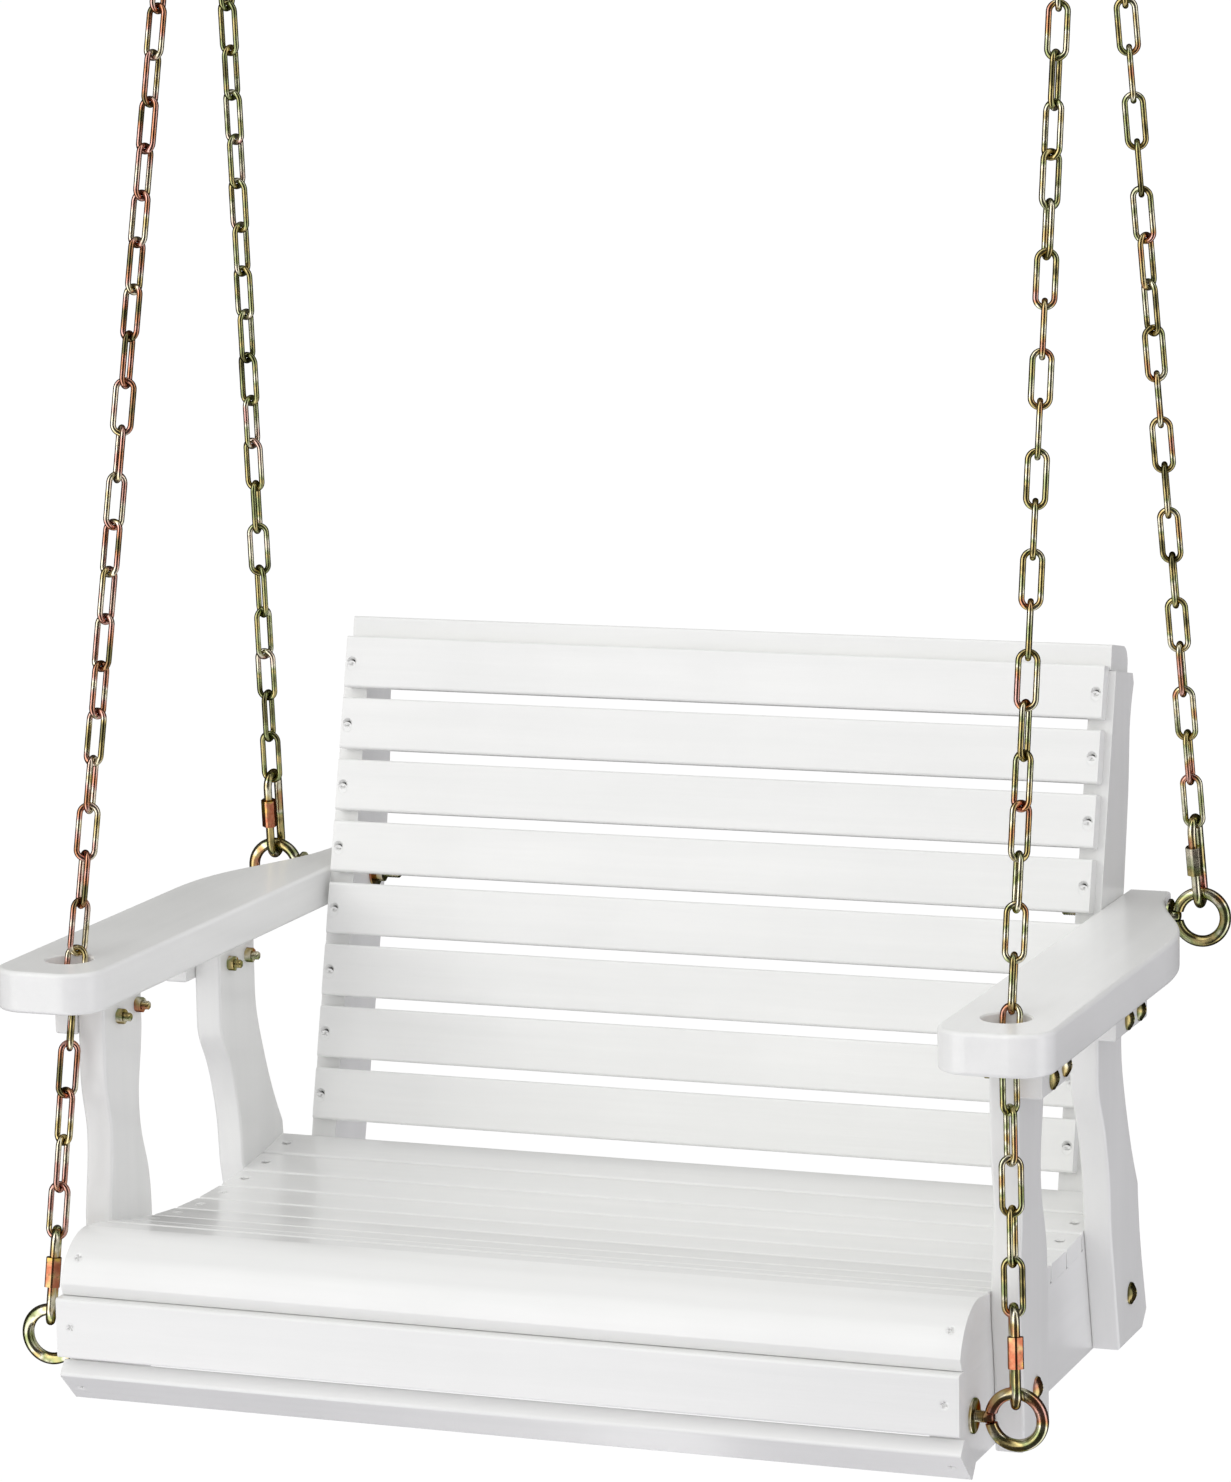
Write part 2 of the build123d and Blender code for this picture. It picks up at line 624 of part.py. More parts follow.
def build_hook():
    """Screw hook: a threaded shank, a collar under the ceiling and an open bow in the X-Z plane."""
    bow_start = 115.0
    lead_turn = bow_start - 50.0
    start_y = -HOOK_NECK + HOOK_R * sin(radians(bow_start))
    lead_r = -HOOK_R * cos(radians(bow_start)) / (1 - cos(radians(lead_turn)))
    lead_z = start_y + lead_r * sin(radians(lead_turn))
    front = Plane(origin=(HANG_X, 0, 0), x_dir=(1, 0, 0), z_dir=(0, -1, 0))
    with BuildPart() as hook:
        with BuildLine(front) as path:
            Line((0, HOOK_SHANK), (0, lead_z))
            JernArc((0, lead_z), (0, -1), lead_r, -lead_turn)
            bow_point = (HOOK_R * cos(radians(bow_start)), start_y)
            heading = radians(bow_start + 90)
            JernArc(bow_point, (cos(heading), sin(heading)), HOOK_R, 285)
        with BuildSketch(Plane(origin=path.line @ 0, z_dir=path.line % 0)):
            Circle(HOOK_WIRE / 2)
        sweep(transition=Transition.ROUND)
        with BuildSketch(Plane.XY):
            with Locations((HANG_X, 0)):
                Circle(9)
        extrude(amount=-3)
        chamfer(hook.edges().filter_by(GeomType.CIRCLE).group_by(Axis.Z)[-1], 1.5)
    return hook.part


def hardware_on_rail_and_arm():
    """Outer washers, inner washers and nuts of the eye bolts, on the +X side."""
    eyes = [(RAIL_OUT, RAIL_OUT - RAIL_T, FRONT_EYE), (ARM_WASHER_X + 0.1, STILE_IN, REAR_EYE)]
    washers, nuts = [], []
    for outer_face, inner_face, (_, y, z) in eyes:
        washers.append(build_washer(outer_face, y, z, 11.5, M8 / 2 + 0.2, WASHER_T))
        washers.append(build_washer(inner_face - WASHER_T, y, z, 11.5, M8 / 2 + 0.2, WASHER_T))
        nuts.append(build_nut(inner_face - WASHER_T, y, z, M8, 2 * (SHANK_R + THREAD_PLAY)))
    return washers, nuts


def main():
    screws = back_screws() + seat_screws()
    joiners = hidden_screws()
    save_pair(drilled(build_arm(), joiners), "arm")
    save_pair(build_post(front_post_outline, FRONT_BOLTS), "front_post")
    save_pair(build_post(rear_post_outline, REAR_BOLTS), "rear_post")
    save_pair(drilled(build_cleat(12, 76, FRONT_BOLTS[:2]), joiners), "front_cleat")
    save_pair(drilled(build_cleat(186, 265, REAR_BOLTS[:2]), joiners), "rear_cleat")
    save_pair(drilled(build_rail(), screws + joiners), "seat_rail")
    save_pair(drilled(build_stile(), screws + joiners), "back_stile")

    for index in range(1, BACK_SLATS + 1):
        save(drilled(build_back_slat(index), screws), f"back_slat_{index}")
    save(drilled(build_cap_slat(), screws), "back_cap_slat")
    for index in range(1, SEAT_SLATS + 1):
        save(drilled(build_seat_slat(index), screws), f"seat_slat_{index}")
    save(drilled(build_nosing(), screws), "seat_nosing")
    save(drilled(build_front_slat(), screws), "seat_front_slat")
    save(drilled(build_under_slat(), screws), "seat_under_slat")

    post_face, inside = RAIL_OUT + POST_T, RAIL_OUT
    bolts, washers, nuts = [], [], []
    for y, z in FRONT_BOLTS[:2] + REAR_BOLTS[:2]:
        bolts.append(build_bolt(CLEAT_OUT, y, z, inside - 9.5))
        washers.append(build_washer(CLEAT_OUT, y, z, 7.5, M6 / 2 + 0.2, WASHER_T))
        nuts.append(build_nut(inside, y, z, M6, M6 + 2 * THREAD_PLAY))
    for y, z in (FRONT_BOLTS[2], REAR_BOLTS[2]):
        bolts.append(build_bolt(post_face, y, z, inside - RAIL_T - 14))
        washers.append(build_washer(post_face, y, z, 7.5, M6 / 2 + 0.2, WASHER_T))
        nuts.append(build_nut(inside - RAIL_T, y, z, M6, M6 + 2 * THREAD_PLAY))
    save_group(both(bolts), "frame_bolts")
    save_group(both(washers), "frame_bolt_washers")
    save_group(both(nuts), "frame_bolt_nuts")
    save_group(screws, "slat_screws")
    save_group(joiners, "frame_screws")

    eyes = [build_eye_bolt(FRONT_EYE, FRONT_SHANK_END), build_eye_bolt(REAR_EYE, REAR_SHANK_END)]
    eye_washers, eye_nuts = hardware_on_rail_and_arm()
    save_group(both(eyes), "eye_bolts")
    save_group(both(eye_washers), "eye_bolt_washers")
    save_group(both(eye_nuts), "eye_bolt_nuts")

    chains = {"front_right": (True, (1, 7, 20)), "front_left": (True, (1, 5, 14)),
              "rear_right": (False, (9,)), "rear_left": (False, (2,))}
    for place, (is_front, turns) in chains.items():
        links = build_chain(is_front, turns)
        if place.endswith("left"):
            links = [mirror(link, about=MIRROR) for link in links]
        save_group(links, f"chain_{place}")

    stations = {"front": (FRONT_FOOT, FRONT_PULL), "rear": (REAR_FOOT, REAR_PULL),
                "top": (TOP_LINK_BOTTOM, Vector(0, 0, 1))}
    gates = {"front": (FRONT_GATE, -FRONT_GATE), "rear": (180, 180), "top": (0, 0)}
    for station, (foot, along) in stations.items():
        for side, turn in zip(("right", "left"), gates[station]):
            behind = Vector(-sin(radians(turn)), cos(radians(turn)), 0)
            gate_side = perpendicular(along, behind)
            pieces = {"quick_link": build_quick_link(foot, along, gate_side),
                      "link_sleeve": build_sleeve(foot, along, gate_side)}
            for kind, piece in pieces.items():
                save(piece if side == "right" else mirror(piece, about=MIRROR), f"{kind}_{station}_{side}")
        print(f"{station}: foot {foot}, pull {along}, gate side {gate_side}")
    save_pair(build_hook(), "ceiling_hook")
    print(f"pivot height {PIVOT_Z}, pull angles {degrees(atan2(FRONT_PULL.Y, FRONT_PULL.Z)):.2f}"
          f" and {degrees(atan2(REAR_PULL.Y, REAR_PULL.Z)):.2f}")


main()
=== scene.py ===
"""Looks of the porch swing seat: painted boards, passivated hardware, and the studio around them.

Everything is in metres in the row frame: +Z up, +Y to the back of the seat, origin on the ceiling.
"""

import math

import bmesh
import bpy
import numpy as np
from mathutils import Matrix, Vector


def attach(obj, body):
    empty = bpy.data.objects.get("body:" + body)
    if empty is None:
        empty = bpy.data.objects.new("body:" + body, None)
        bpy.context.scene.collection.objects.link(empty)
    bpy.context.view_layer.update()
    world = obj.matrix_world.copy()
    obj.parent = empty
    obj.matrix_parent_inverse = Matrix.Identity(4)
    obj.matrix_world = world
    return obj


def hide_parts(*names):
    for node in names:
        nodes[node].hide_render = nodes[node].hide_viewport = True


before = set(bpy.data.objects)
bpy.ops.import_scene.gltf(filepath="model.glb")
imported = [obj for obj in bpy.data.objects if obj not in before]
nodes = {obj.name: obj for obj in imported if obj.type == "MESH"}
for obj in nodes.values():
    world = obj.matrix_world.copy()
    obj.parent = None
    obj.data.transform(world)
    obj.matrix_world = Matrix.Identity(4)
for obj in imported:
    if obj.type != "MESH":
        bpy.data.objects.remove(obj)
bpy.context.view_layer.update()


# ---- material helpers ----
def new_material(name):
    material = bpy.data.materials.new(name)
    material.use_nodes = True
    return material, material.node_tree, material.node_tree.nodes["Principled BSDF"]


def add(tree, kind, inputs=None, **settings):
    """A new node. An input's value is either a number or colour, or another node's output socket."""
    node = tree.nodes.new(kind)
    for key, value in settings.items():
        setattr(node, key, value)
    for socket, value in (inputs or {}).items():
        if isinstance(value, bpy.types.NodeSocket):
            tree.links.new(value, node.inputs[socket])
        else:
            node.inputs[socket].default_value = value
    return node


def noise(tree, place, scale, detail, roughness=0.55, stretch=(1, 1, 1)):
    """A noise's value from 0 to 1. A larger stretch number gives finer detail along that axis."""
    mapped = add(tree, "ShaderNodeMapping", {"Vector": place, "Scale": stretch})
    inputs = {"Vector": mapped.outputs["Vector"], "Scale": scale, "Detail": detail, "Roughness": roughness}
    return add(tree, "ShaderNodeTexNoise", inputs).outputs["Fac"]


def remap(tree, value, low, high, new_low=0.0, new_high=1.0):
    inputs = {"Value": value, "From Min": low, "From Max": high, "To Min": new_low, "To Max": new_high}
    return add(tree, "ShaderNodeMapRange", inputs).outputs["Result"]


def ramp(tree, value, stops):
    """A colour ramp from (position, colour) pairs."""
    made = add(tree, "ShaderNodeValToRGB", {"Fac": value})
    elements = made.color_ramp.elements
    while len(elements) < len(stops):
        elements.new(0.5)
    for element, (position, colour) in zip(elements, stops):
        element.position = position
        element.color = (*colour, 1)
    return made.outputs["Color"]


def mix(tree, factor, first, second):
    made = add(tree, "ShaderNodeMix", data_type="RGBA")
    for socket, value in ((made.inputs[0], factor), (made.inputs[6], first), (made.inputs[7], second)):
        if isinstance(value, bpy.types.NodeSocket):
            tree.links.new(value, socket)
        else:
            socket.default_value = value if isinstance(value, (int, float)) else (*value, 1)
    return made.outputs[2]


def bump(tree, height, distance, strength, normal=None):
    inputs = {"Height": height, "Distance": distance, "Strength": strength}
    if normal is not None:
        inputs["Normal"] = normal
    return add(tree, "ShaderNodeBump", inputs).outputs["Normal"]


def compute(tree, operation, *values):
    return add(tree, "ShaderNodeMath", dict(enumerate(values)), operation=operation).outputs[0]


def object_place(tree):
    return add(tree, "ShaderNodeTexCoord").outputs["Object"]


# ---- painted wood ----
PAINT = (0.875, 0.875, 0.862)
PAINT_SHADE = (0.825, 0.828, 0.815)
# fineness, per metre, and depth in metres
GRAIN_ACROSS, GRAIN_ALONG, GRAIN_DEPTH = 38.0, 1.6, 0.0009
BRUSH_ACROSS, BRUSH_ALONG, BRUSH_DEPTH = 420.0, 9.0, 0.00012
PEEL, PEEL_DEPTH = 420.0, 0.00006
CLOUD = 11.0


def stretched(across, along, axis):
    scale = [across, across, across]
    scale[axis] = along
    return scale


def painted_wood(name, grain_axis):
    """White satin paint over planed boards: grain, brush marks and a slight orange peel."""
    material, tree, surface = new_material(name)
    place = object_place(tree)
    fibres = stretched(GRAIN_ACROSS, GRAIN_ALONG, grain_axis)
    bristles = stretched(BRUSH_ACROSS, BRUSH_ALONG, grain_axis)
    grain = noise(tree, place, 1.0, detail=7, roughness=0.62, stretch=fibres)
    brushing = noise(tree, place, 1.0, detail=2, roughness=0.5, stretch=bristles)
    cloud = noise(tree, place, CLOUD, detail=3)
    orange_peel = noise(tree, place, PEEL, detail=1)
    tone = mix(tree, remap(tree, grain, 0.35, 0.7), PAINT, PAINT_SHADE)
    tone = mix(tree, remap(tree, cloud, 0.4, 0.75, 0.0, 0.35), tone, PAINT_SHADE)
    tree.links.new(tone, surface.inputs["Base Color"])
    tree.links.new(remap(tree, cloud, 0.3, 0.7, 0.30, 0.44), surface.inputs["Roughness"])
    relief = bump(tree, grain, GRAIN_DEPTH, 0.55)
    relief = bump(tree, brushing, BRUSH_DEPTH, 0.6, relief)
    relief = bump(tree, orange_peel, PEEL_DEPTH, 0.5, relief)
    tree.links.new(relief, surface.inputs["Normal"])
    surface.inputs["Coat Weight"].default_value = 0.35
    surface.inputs["Coat Roughness"].default_value = 0.16
    return material


# ---- yellow-passivated zinc ----
OLIVE, GOLD = (0.15, 0.135, 0.06), (0.52, 0.41, 0.18)
GREEN, COPPER, ROSE = (0.29, 0.33, 0.15), (0.50, 0.22, 0.12), (0.58, 0.33, 0.29)
PALE = (0.78, 0.73, 0.58)
DEEP_COPPER, AMBER = (0.42, 0.13, 0.07), (0.62, 0.42, 0.10)
ZINC_EDGE = (0.13, 0.11, 0.07)
ZINC_ROUGHNESS = (0.12, 0.29)
SCRATCHES, SCRATCH_DEPTH = 900.0, 0.00004


def passivated(name, stops, scale=34.0):
    """Zinc with a chromate film, whose tint wanders between olive, gold, green and rose."""
    material, tree, surface = new_material(name)
    place = object_place(tree)
    film = noise(tree, place, scale, detail=2)
    stain = noise(tree, place, scale * 6, detail=3)
    tint = ramp(tree, film, stops)
    tint = mix(tree, remap(tree, stain, 0.55, 0.75, 0.0, 0.7), tint, OLIVE)
    tree.links.new(tint, surface.inputs["Base Color"])
    tree.links.new(remap(tree, stain, 0.3, 0.7, *ZINC_ROUGHNESS), surface.inputs["Roughness"])
    scratches = noise(tree, place, SCRATCHES, detail=2)
    tree.links.new(bump(tree, scratches, SCRATCH_DEPTH, 0.5), surface.inputs["Normal"])
    surface.inputs["Metallic"].default_value = 1.0
    surface.inputs["Specular Tint"].default_value = (*ZINC_EDGE, 1)
    return material


ZINC_STOPS = [
    (0.33, OLIVE), (0.40, GOLD), (0.46, GREEN), (0.52, PALE), (0.57, GOLD), (0.63, COPPER), (0.70, ROSE),
]
ROSY_STOPS = [(0.33, OLIVE), (0.41, COPPER), (0.48, ROSE), (0.54, PALE), (0.60, GOLD), (0.68, OLIVE)]
GREEN_STOPS = [(0.33, OLIVE), (0.42, GREEN), (0.49, GOLD), (0.55, GREEN), (0.62, PALE), (0.70, ROSE)]
COPPER_STOPS = [(0.34, GOLD), (0.42, COPPER), (0.50, DEEP_COPPER), (0.58, COPPER), (0.66, AMBER)]

wood_x = painted_wood("paint_grain_x", 0)
wood_y = painted_wood("paint_grain_y", 1)
wood_z = painted_wood("paint_grain_z", 2)
zinc = passivated("zinc_yellow", ZINC_STOPS)
zinc_rosy = passivated("zinc_rosy", ROSY_STOPS)
zinc_green = passivated("zinc_green", GREEN_STOPS)
zinc_copper = passivated("zinc_copper", COPPER_STOPS, scale=70.0)


def material_for(node):
    """The boards take the paint whose grain runs along them. The two left chains have tints of their own."""
    if "sleeve" in node:
        return zinc_green if node.endswith("rear_right") else zinc_copper
    if node.startswith("chain"):
        return {"front_left": zinc_rosy, "rear_left": zinc_green}.get(node.removeprefix("chain_"), zinc)
    if node.startswith(("slat_screws", "frame_screws")):
        return wood_x
    if "bolt" in node or "link" in node or "hook" in node:
        return zinc
    if "post" in node or "stile" in node:
        return wood_z
    if node.startswith("arm") or "rail" in node or "cleat" in node:
        return wood_y
    return wood_x


for name, piece in nodes.items():
    piece.data.materials.clear()
    piece.data.materials.append(material_for(name))


# ---- screws and bolts, in metres, with heights counted down from the top of the head ----
SHARP = math.radians(50)  # edges that turn by more stay sharp
SCREW_HEAD_R, SCREW_SHANK_R, SCREW_CONE, SCREW_POINT = 0.0036, 0.0017, 0.0024, 0.004
DISH_R, DISH_DEPTH, CROSS_DEPTH = 0.0035, 0.0005, 0.0017
HEAD_R, HEAD_H = 0.0066, 0.0028
SOCKET, SOCKET_DEPTH = 0.0040, 0.0018
BOLT_R, BOLT_PITCH, BOLT_THREAD_TOP, BOLT_THREAD_DEPTH = 0.003, 0.001, -0.030, 0.00045
EYE_R, EYE_PITCH, EYE_THREAD_TOP, EYE_THREAD_DEPTH = 0.0039, 0.00125, -0.006, 0.0006
RING_R, WIRE_R, RING_GAP = 0.017, 0.004, math.radians(13)
NECK = 0.0145  # from the middle of the ring to the top of the shank
TIP = 0.0007  # chamfer at the end of a thread


def to_data(mesh, name):
    data = bpy.data.meshes.new(name)
    mesh.to_mesh(data)
    mesh.free()
    return data


def new_object(name, data):
    item = bpy.data.objects.new(name, data)
    bpy.context.scene.collection.objects.link(item)
    return item


def islands(node):
    """The separate solids of a CAD node, each as an array of points."""
    mesh = bmesh.new()
    mesh.from_mesh(nodes[node].data)
    bmesh.ops.remove_doubles(mesh, verts=mesh.verts, dist=1e-6)
    place, seen, found = nodes[node].matrix_world, set(), []
    for first in mesh.verts:
        if first in seen:
            continue
        group, queue = [], [first]
        seen.add(first)
        while queue:
            vertex = queue.pop()
            group.append(place @ vertex.co)
            for edge in vertex.link_edges:
                other = edge.other_vert(vertex)
                if other not in seen:
                    seen.add(other)
                    queue.append(other)
        found.append(np.array([tuple(point) for point in group]))
    mesh.free()
    return found


def head_of(points):
    """(centre of the head's face, direction out of it, length) of a screw or bolt."""
    middle = (points.min(axis=0) + points.max(axis=0)) / 2
    _, _, axes = np.linalg.svd(points - middle, full_matrices=False)
    axis = axes[0]
    along = (points - middle) @ axis
    radius = np.linalg.norm(points - middle - np.outer(along, axis), axis=1)
    if along[radius.argmax()] < 0:
        axis, along = -axis, -along
    rim_width = 0.0004
    rim = points[radius > radius.max() - rim_width]
    centre = (rim.min(axis=0) + rim.max(axis=0)) / 2
    top = along.max()
    centre = centre + axis * (top - (centre - middle) @ axis)
    return Vector(centre), Vector(axis), top - along.min()


def turned(name, profile, segments, shape):
    """Mesh data of a solid of revolution about Z, whose points are then moved by shape.

    The profile runs from the top centre to the bottom centre.
    """
    mesh = bmesh.new()
    rings = []
    for radius, height in profile:
        ring = []
        for step in range(segments if radius > 0 else 1):
            turn = 2 * math.pi * step / segments
            point = Vector((radius * math.cos(turn), radius * math.sin(turn), height))
            ring.append(mesh.verts.new(shape(point)))
        rings.append(ring)
    for upper, lower in zip(rings, rings[1:]):
        for step in range(segments):
            after = (step + 1) % segments
            corners = [upper[step % len(upper)], lower[step % len(lower)], lower[after % len(lower)],
                       upper[after % len(upper)]]
            mesh.faces.new(list(dict.fromkeys(corners)))
    data = to_data(mesh, name)
    data.shade_smooth()
    return data


def smooth_step(value, low, high):
    part = min(max((value - low) / (high - low), 0), 1)
    return part * part * (3 - 2 * part)


def crossed(point):
    """A countersunk head, a little dished, with a cross recess half filled with paint."""
    reach = math.hypot(point.x, point.y)
    if point.z < -0.0001 or reach > DISH_R:
        return point
    narrow, long = sorted((abs(point.x), abs(point.y)))
    recess = (1 - smooth_step(narrow, 0.00045, 0.00085)) * (1 - smooth_step(long, 0.0018, 0.0025))
    dish = DISH_DEPTH * (1 - (reach / DISH_R) ** 2)
    return Vector((point.x, point.y, -dish - CROSS_DEPTH * recess))


def screw_profile(length):
    """Head face, cone, shank and point."""
    rings = 14
    face = [(0.0, 0.0)] + [(SCREW_HEAD_R * ring / rings, 0.0) for ring in range(1, rings + 1)]
    shank = [(SCREW_SHANK_R, -SCREW_CONE), (SCREW_SHANK_R, SCREW_POINT - length)]
    return face + shank + [(0.0004, -length), (0.0, -length)]


def axis_frame(origin, out):
    """A matrix that puts Z along this direction."""
    return Matrix.Translation(origin) @ out.to_track_quat("Z", "Y").to_matrix().to_4x4()


def in_place_of(node, name, copies, material):
    """One piece from (mesh data, matrix) pairs, in place of a CAD node."""
    mesh = bmesh.new()
    for data, place in copies:
        copy = data.copy()
        copy.transform(place)
        mesh.from_mesh(copy)
        bpy.data.meshes.remove(copy)
    bmesh.ops.recalc_face_normals(mesh, faces=mesh.faces)
    whole = to_data(mesh, name)
    whole.shade_smooth()
    whole.materials.append(material)
    piece = new_object(name, whole)
    piece.modifiers.new("edges", "EDGE_SPLIT").split_angle = SHARP
    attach(piece, "swing")
    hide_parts(node)


def make_slat_screws():
    shapes, copies = {}, []
    for number, points in enumerate(islands("slat_screws")):
        centre, out, length = head_of(points)
        key = round(length, 4)
        if key not in shapes:
            shapes[key] = turned("screw", screw_profile(length), 56, crossed)
        turn = Matrix.Rotation(0.9 * number + 0.3, 4, "Z")  # no two neighbouring crosses stand alike
        copies.append((shapes[key], axis_frame(centre, out) @ turn))
    in_place_of("slat_screws", "painted_screw_heads", copies, wood_x)


def thread_profile(radius, start, end, pitch):
    """Rings down a threaded shank from start to end, both heights, with a chamfered tip."""
    rings_per_turn = 8
    steps = int((start - end) / pitch * rings_per_turn)
    rings = [(radius, start - (start - end - TIP) * step / steps) for step in range(steps + 1)]
    return rings + [(radius - TIP, end), (0.0, end)]


def helix(radius, start, end, pitch, depth):
    """Cuts a screw thread into the ring points between the two heights."""
    def cut(point):
        reach = math.hypot(point.x, point.y)
        if not (end + 0.0004 < point.z < start) or reach < radius - 0.0001:
            return point
        phase = (point.z / pitch - math.atan2(point.y, point.x) / (2 * math.pi)) % 1.0
        keep = 1 - depth * smooth_step(abs(2 * phase - 1), 0.1, 0.9) / reach
        return Vector((point.x * keep, point.y * keep, point.z))
    return cut


def button_profile(length):
    """A low domed head with a hexagon socket, and its shank. The head's top is at height 0."""
    rise = (HEAD_R**2 + HEAD_H**2) / (2 * HEAD_H)
    inner, steps = 0.0026, 8
    dome = []
    for step in range(steps + 1):
        reach = inner + (HEAD_R - inner) * step / steps
        dome.append((reach, math.sqrt(rise**2 - reach**2) - rise))
    socket = [(0.0, -SOCKET_DEPTH), (SOCKET / 2, -0.0017), (SOCKET / 2, -0.0004), (0.00225, -0.0002)]
    collar = [(HEAD_R, -HEAD_H), (BOLT_R, -HEAD_H)]
    return socket + dome + collar + thread_profile(BOLT_R, BOLT_THREAD_TOP, -length, BOLT_PITCH)


def make_frame_bolts():
    shapes, copies = {}, []
    for points in islands("frame_bolts"):
        centre, out, length = head_of(points)
        top = Vector((points[:, 0].max() if out.x > 0 else points[:, 0].min(), centre.y, centre.z))
        key = round(length, 4)
        if key not in shapes:
            thread = helix(BOLT_R, BOLT_THREAD_TOP, -length, BOLT_PITCH, BOLT_THREAD_DEPTH)

            def shape(point, thread=thread):
                reach = math.hypot(point.x, point.y)
                if point.z > -SOCKET_DEPTH and 0 < reach <= SOCKET / 2 + 0.00001:
                    side = (math.atan2(point.y, point.x) % (math.pi / 3)) - math.pi / 6
                    return Vector((point.x / math.cos(side), point.y / math.cos(side), point.z))
                return thread(point)
            shapes[key] = turned("bolt", button_profile(length), 48, shape)
        copies.append((shapes[key], axis_frame(top, out)))
    in_place_of("frame_bolts", "button_bolts", copies, zinc)


def ring_tube():
    """An open ring of wire about Y, starting and ending next to the shank, which comes in along -X."""
    segments, sides = 96, 24
    mesh = bmesh.new()
    rings = []
    for step in range(segments + 1):
        turn = math.pi + RING_GAP + (2 * math.pi - 2 * RING_GAP) * step / segments
        outward = Vector((math.cos(turn), 0, math.sin(turn)))
        ring = []
        for side in range(sides):
            angle = 2 * math.pi * side / sides
            across = Vector((0, WIRE_R * math.sin(angle), 0))
            ring.append(mesh.verts.new(outward * (RING_R + WIRE_R * math.cos(angle)) + across))
        rings.append(ring)
    for upper, lower in zip(rings, rings[1:]):
        for side in range(sides):
            after = (side + 1) % sides
            mesh.faces.new((upper[side], lower[side], lower[after], upper[after]))
    mesh.faces.new(rings[0])
    mesh.faces.new(list(reversed(rings[-1])))
    return to_data(mesh, "ring")


def make_eye_bolts():
    """The ring is bent round from the shank and its cut end stops just short of it."""
    ring = ring_tube()
    copies = []
    for points in islands("eye_bolts"):
        side = 1 if points[:, 0].mean() > 0 else -1
        low, high = points.min(axis=0), points.max(axis=0)
        outer, tip = (high[0], low[0]) if side > 0 else (low[0], high[0])
        centre = Vector((outer - side * (RING_R + WIRE_R), (low[1] + high[1]) / 2, (low[2] + high[2]) / 2))
        length = abs(tip - centre.x) - NECK
        start = Vector((centre.x - side * NECK, centre.y, centre.z))
        profile = [(0.0, 0.0), (0.0030, -0.0003), (EYE_R, -0.0012)]
        profile += thread_profile(EYE_R, EYE_THREAD_TOP, -length, EYE_PITCH)
        thread = helix(EYE_R, EYE_THREAD_TOP, -length, EYE_PITCH, EYE_THREAD_DEPTH)
        shank = turned("shank", profile, 32, thread)
        facing = Matrix.Identity(4) if side > 0 else Matrix.Rotation(math.pi, 4, "Z")
        copies.append((ring, Matrix.Translation(centre) @ facing))
        copies.append((shank, axis_frame(start, Vector((side, 0, 0)))))
    in_place_of("eye_bolts", "threaded_eyes", copies, zinc)


make_slat_screws()
make_frame_bolts()
make_eye_bolts()


# ---- studio ----
SEAT = Vector((0, -0.05, -1.15))
LAMP_SIDE = 2.0
FLOOR_Z = -1.78
FLOOR_BASE = (0.02, 0.02, 0.02)
FLOOR_LIGHT = (0.78, 0.77, 0.81)
PLAIN_WHITE = (1, 1, 1)
ROOM = {
    "level": (0.915, 0.915, 0.915),
    "right": (-0.20, -0.20, -0.17),
    "back": (-0.16, -0.16, -0.16),
    "up": (0.04, 0.04, 0.04),
}
STRIPS = ((-0.55, 0.42, 1.0), (1.45, 0.30, 0.75))  # middle and half width in radians, brightness
STRIP_WHITE, DARK_ROOM = (2.2, 2.2, 2.15), (0.05, 0.045, 0.04)
CAMERA_PLACE = (1.28924, -3.49651, -0.28851)
AZIMUTH, PITCH, ROLL = math.radians(20.56), math.radians(9.50), math.radians(-0.92)
LENS, SENSOR = 134.5, 36.0  # millimetres


def area_light(name, place, power):
    lamp = bpy.data.lights.new(name, "AREA")
    lamp.shape = "RECTANGLE"
    lamp.size = lamp.size_y = LAMP_SIDE
    lamp.energy = power
    item = new_object(name, lamp)
    item.location = place
    item.rotation_euler = (SEAT - Vector(place)).to_track_quat("-Z", "Y").to_euler()


def by_ray(tree, seen, glossy, otherwise):
    """One colour for camera rays, one for glossy rays and one for all others."""
    path = add(tree, "ShaderNodeLightPath")
    rest = mix(tree, path.outputs["Is Glossy Ray"], otherwise, glossy)
    return mix(tree, path.outputs["Is Camera Ray"], rest, seen)


def strips(tree, place):
    """What shiny metal mirrors: a dark room with a white strip at the front left and one at the right."""
    axes = add(tree, "ShaderNodeSeparateXYZ", {"Vector": place})
    front = compute(tree, "MULTIPLY", axes.outputs["Y"], -1.0)
    angle = compute(tree, "ARCTAN2", axes.outputs["X"], front)
    glow = []
    for middle, half, bright in STRIPS:
        away = compute(tree, "ABSOLUTE", compute(tree, "SUBTRACT", angle, middle))
        glow.append(remap(tree, away, half * 0.7, half, bright, 0.0))
    return mix(tree, compute(tree, "ADD", *glow), DARK_ROOM, STRIP_WHITE)


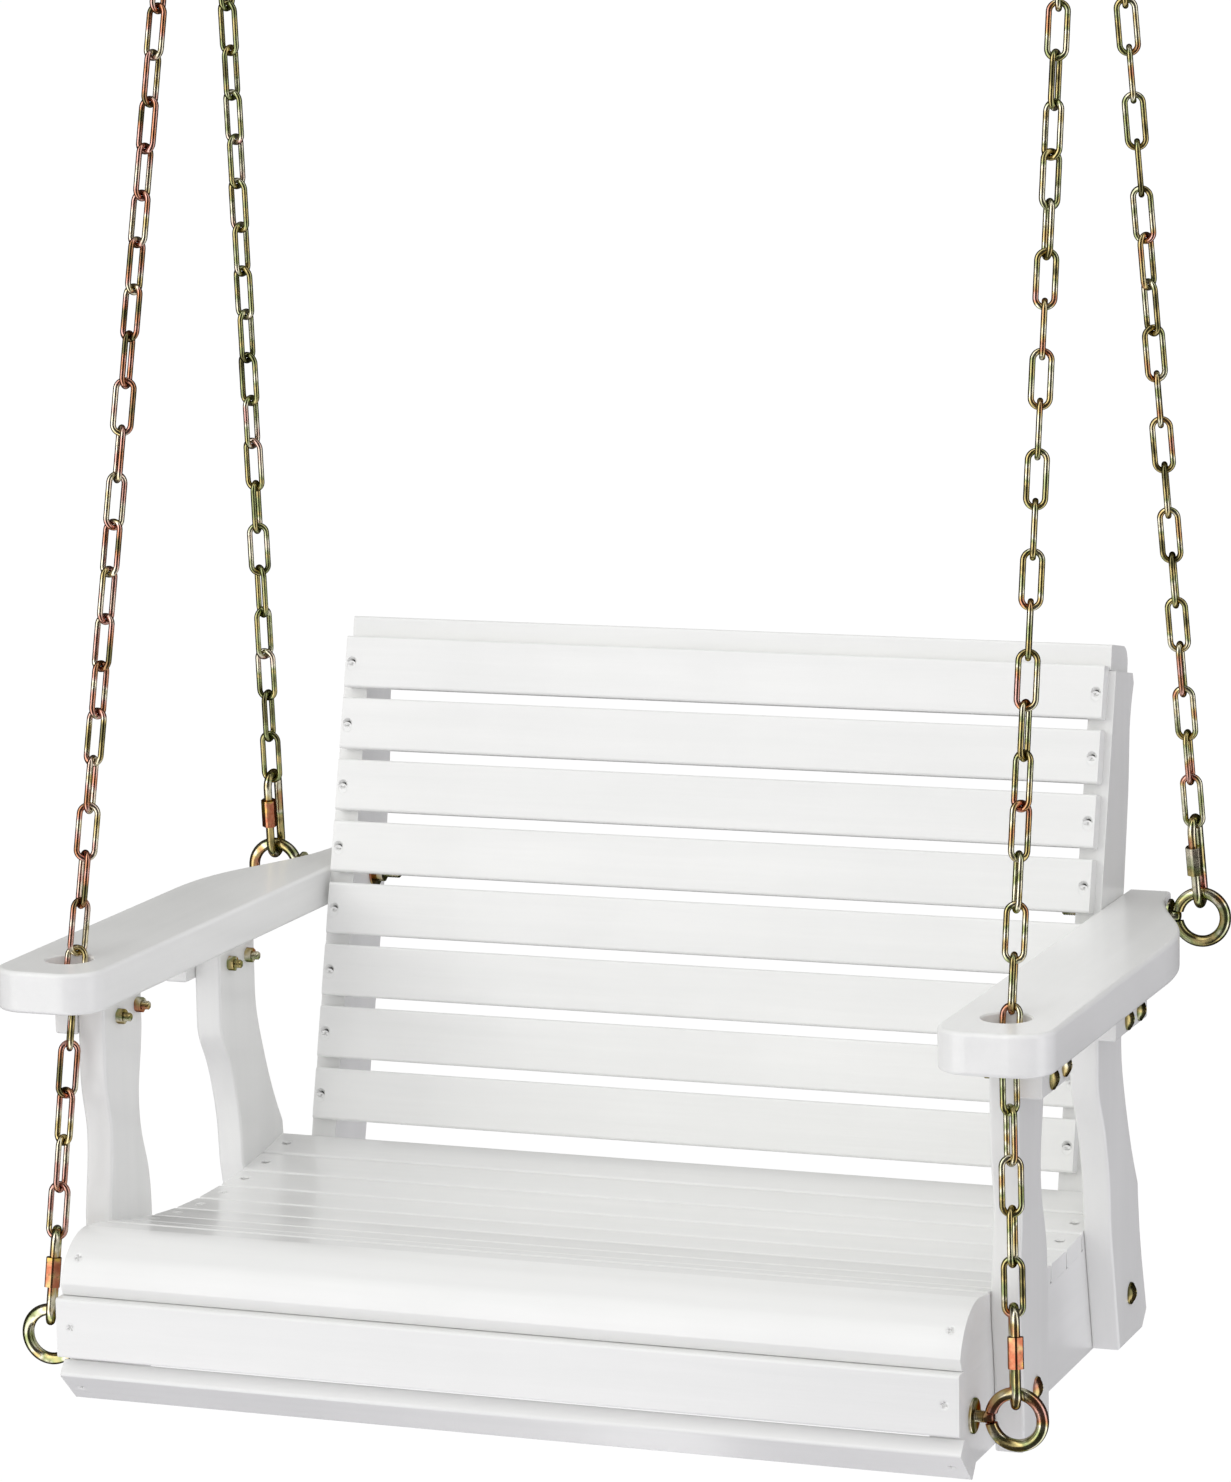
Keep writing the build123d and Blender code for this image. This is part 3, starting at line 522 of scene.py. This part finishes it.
def make_floor():
    """A glowing floor, wide enough to reach the horizon.

    Its own colour is nearly black, so it takes no shadow. All it shows is emission, which depends on the
    kind of ray: plain white to the camera, the strips to reflections, and FLOOR_LIGHT as light on the seat.
    """
    mesh = bmesh.new()
    bmesh.ops.create_grid(mesh, x_segments=8, y_segments=8, size=40.0)
    data = to_data(mesh, "floor")
    floor = new_object("floor", data)
    floor.location.z = FLOOR_Z
    material, tree, surface = new_material("floor_paint")
    place = object_place(tree)
    shine = by_ray(tree, PLAIN_WHITE, strips(tree, place), FLOOR_LIGHT)
    tree.links.new(shine, surface.inputs["Emission Color"])
    surface.inputs["Base Color"].default_value = (*FLOOR_BASE, 1)
    surface.inputs["Roughness"].default_value = 1.0
    surface.inputs["Specular IOR Level"].default_value = 0.0
    surface.inputs["Emission Strength"].default_value = 1.0
    data.materials.append(material)


def make_world():
    """The room, which also depends on the kind of ray: plain white to the camera, the strips to reflections.

    As light on the seat it is brighter in front and above, and darker and cooler to the right.
    """
    world = bpy.data.worlds.new("studio")
    bpy.context.scene.world = world
    world.use_nodes = True
    tree = world.node_tree
    background = tree.nodes["Background"]
    direction = add(tree, "ShaderNodeTexCoord").outputs["Generated"]
    axes = add(tree, "ShaderNodeSeparateXYZ", {"Vector": direction})
    light = ROOM["level"]
    for side, axis in (("right", "X"), ("back", "Y"), ("up", "Z")):
        inputs = {0: ROOM[side], "Scale": axes.outputs[axis]}
        slope = add(tree, "ShaderNodeVectorMath", inputs, operation="SCALE").outputs[0]
        light = add(tree, "ShaderNodeVectorMath", {0: light, 1: slope}, operation="ADD").outputs[0]
    tree.links.new(by_ray(tree, PLAIN_WHITE, strips(tree, direction), light), background.inputs["Color"])
    background.inputs["Strength"].default_value = 1.0


def make_camera():
    """The photographer stands in front and to the right, a little above the seat."""
    flat = math.cos(PITCH)
    forward = Vector((-math.sin(AZIMUTH) * flat, math.cos(AZIMUTH) * flat, -math.sin(PITCH)))
    level = Vector((math.cos(AZIMUTH), math.sin(AZIMUTH), 0))
    upright = level.cross(forward)
    right = level * math.cos(ROLL) + upright * math.sin(ROLL)
    up = upright * math.cos(ROLL) - level * math.sin(ROLL)
    data = bpy.data.cameras.new("camera")
    data.sensor_width = SENSOR
    data.lens = LENS
    data.clip_end = 200.0
    camera = new_object("camera", data)
    facing = Matrix((right, up, -forward)).transposed().to_4x4()
    camera.matrix_world = Matrix.Translation(CAMERA_PLACE) @ facing
    bpy.context.scene.camera = camera


make_floor()
make_world()
make_camera()
area_light("key", (-1.6, -2.6, 0.6), 7)
area_light("top", (0.0, 0.2, 1.6), 3)
bpy.context.scene.view_settings.view_transform = "Standard"
